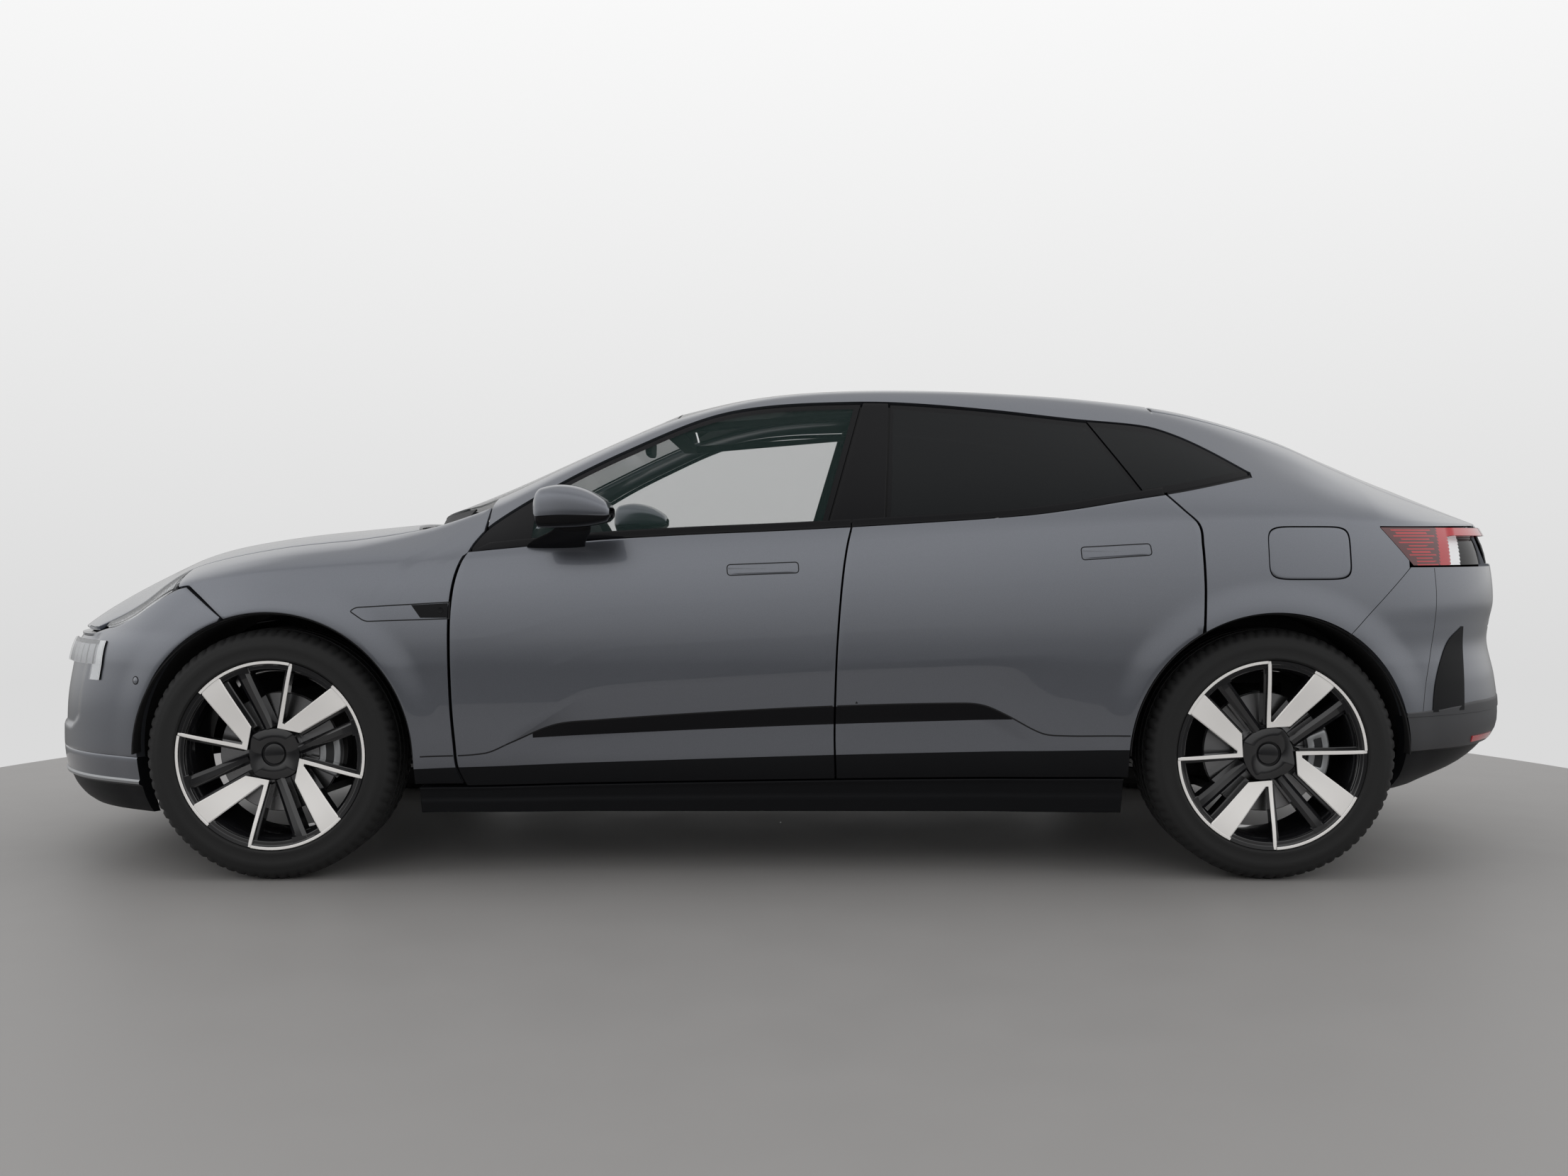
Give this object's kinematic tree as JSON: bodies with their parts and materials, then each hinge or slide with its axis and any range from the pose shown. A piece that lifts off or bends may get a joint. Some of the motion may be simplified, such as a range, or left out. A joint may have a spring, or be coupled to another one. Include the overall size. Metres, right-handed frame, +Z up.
{
  "type": "coupe sport utility vehicle",
  "caption": "Battery-electric coupe sport utility vehicle with frameless side doors, sloping closed tailgate, glass roof, opening lids, steered front wheels and a hollow cabin.",
  "frame": {"origin": "on the ground under the middle of the overall length and width", "axes": "+X forward, +Y to the left of the car, +Z up"},
  "size_m": [4.8403, 2.295, 1.5378],
  "materials": {
    "paint": "metallic clear coat, mid grey",
    "clear_glass": "clear, light green tint",
    "dark_glass": "dark privacy tint",
    "gloss_black": "gloss black",
    "cladding": "satin dark grey",
    "lamp_clear": "clear lens",
    "lamp_red": "dark red lens",
    "steel": "coated metal",
    "battery": "cast housing",
    "seat": "dark woven cover",
    "cabin_trim": "soft dark trim",
    "tyre": "black rubber",
    "alloy": "black with machined faces"
  },
  "bodies": {
    "body": {"body_frame": "paint", "floor_pan": "cladding", "battery_pack": "battery", "subframes": "steel", "fenders": "paint", "side_frames": "paint", "roof_glass": "dark_glass", "windscreen": "clear_glass", "cowl_panel": "gloss_black", "quarter_glass": "dark_glass", "pillar_covers": "gloss_black", "front_bumper": "paint", "rear_bumper": "paint", "lower_cladding": "cladding", "headlamps": "lamp_clear", "tail_lamps": "lamp_red", "arch_liners": "cladding", "seats": "seat", "dashboard": "cabin_trim"},
    "bonnet": {"bonnet": "paint"},
    "tailgate": {"tailgate": "paint", "tailgate_lamp": "lamp_red"},
    "charge_flap": {"charge_flap": "paint"},
    "door_front_left": {"door_fl": "paint", "door_glass_fl": "clear_glass", "mirror_left": "paint"},
    "door_front_right": {"door_fr": "paint", "door_glass_fr": "clear_glass", "mirror_right": "paint"},
    "door_rear_left": {"door_rl": "paint", "door_glass_rl": "dark_glass"},
    "door_rear_right": {"door_rr": "paint", "door_glass_rr": "dark_glass"},
    "steering_wheel": {"steering_wheel": "cabin_trim"},
    "knuckle_left": {"knuckle_left": "steel"},
    "knuckle_right": {"knuckle_right": "steel"},
    "wheel_front_left": {"tyre_fl": "tyre", "rim_fl": "alloy"},
    "wheel_front_right": {"tyre_fr": "tyre", "rim_fr": "alloy"},
    "wheel_rear_left": {"tyre_rl": "tyre", "rim_rl": "alloy"},
    "wheel_rear_right": {"tyre_rr": "tyre", "rim_rr": "alloy"}
  },
  "joints": [
    {"name": "steer_left", "type": "hinge", "parent": "body", "child": "knuckle_left", "pos_m": [1.525, 0.8, 0.378], "axis": [0, 0, 1], "range_deg": [-33, 33]},
    {"name": "steer_right", "type": "hinge", "parent": "body", "child": "knuckle_right", "pos_m": [1.525, -0.8, 0.378], "axis": [0, 0, 1], "range_deg": [-33, 33]},
    {"name": "steering_wheel_turn", "type": "hinge", "parent": "body", "child": "steering_wheel", "pos_m": [0.56, 0.38, 0.96], "axis": [0.9135, 0, -0.4067], "range_deg": [-470, 470]},
    {"name": "wheel_front_left_spin", "type": "hinge", "parent": "knuckle_left", "child": "wheel_front_left", "pos_m": [1.525, 0.845, 0.378], "axis": [0, 1, 0], "continuous": true},
    {"name": "wheel_front_right_spin", "type": "hinge", "parent": "knuckle_right", "child": "wheel_front_right", "pos_m": [1.525, -0.845, 0.378], "axis": [0, 1, 0], "continuous": true},
    {"name": "wheel_rear_left_spin", "type": "hinge", "parent": "body", "child": "wheel_rear_left", "pos_m": [-1.474, 0.845, 0.378], "axis": [0, 1, 0], "continuous": true},
    {"name": "wheel_rear_right_spin", "type": "hinge", "parent": "body", "child": "wheel_rear_right", "pos_m": [-1.474, -0.845, 0.378], "axis": [0, 1, 0], "continuous": true},
    {"name": "door_front_left_hinge", "type": "hinge", "parent": "body", "child": "door_front_left", "pos_m": [0.923, 0.965, 0.7], "axis": [0, 0, -1], "range_deg": [0, 68]},
    {"name": "door_front_right_hinge", "type": "hinge", "parent": "body", "child": "door_front_right", "pos_m": [0.923, -0.965, 0.7], "axis": [0, 0, 1], "range_deg": [0, 68]},
    {"name": "door_rear_left_hinge", "type": "hinge", "parent": "body", "child": "door_rear_left", "pos_m": [-0.229, 0.967, 0.7], "axis": [0, 0, -1], "range_deg": [0, 70]},
    {"name": "door_rear_right_hinge", "type": "hinge", "parent": "body", "child": "door_rear_right", "pos_m": [-0.229, -0.967, 0.7], "axis": [0, 0, 1], "range_deg": [0, 70]},
    {"name": "bonnet_hinge", "type": "hinge", "parent": "body", "child": "bonnet", "pos_m": [1.086, 0, 1.046], "axis": [0, -1, 0], "range_deg": [0, 55]},
    {"name": "tailgate_hinge", "type": "hinge", "parent": "body", "child": "tailgate", "pos_m": [-1.25, 0, 1.408], "axis": [0, 1, 0], "range_deg": [0, 72]},
    {"name": "charge_flap_hinge", "type": "hinge", "parent": "body", "child": "charge_flap", "pos_m": [-1.455, 0.9875, 0.986], "axis": [0, 0, -1], "range_deg": [0, 100]}
  ],
  "couplings": [
    {"joint": "steer_right", "follows": "steer_left", "ratio": 1},
    {"joint": "steering_wheel_turn", "follows": "steer_left", "ratio": -14}
  ]
}
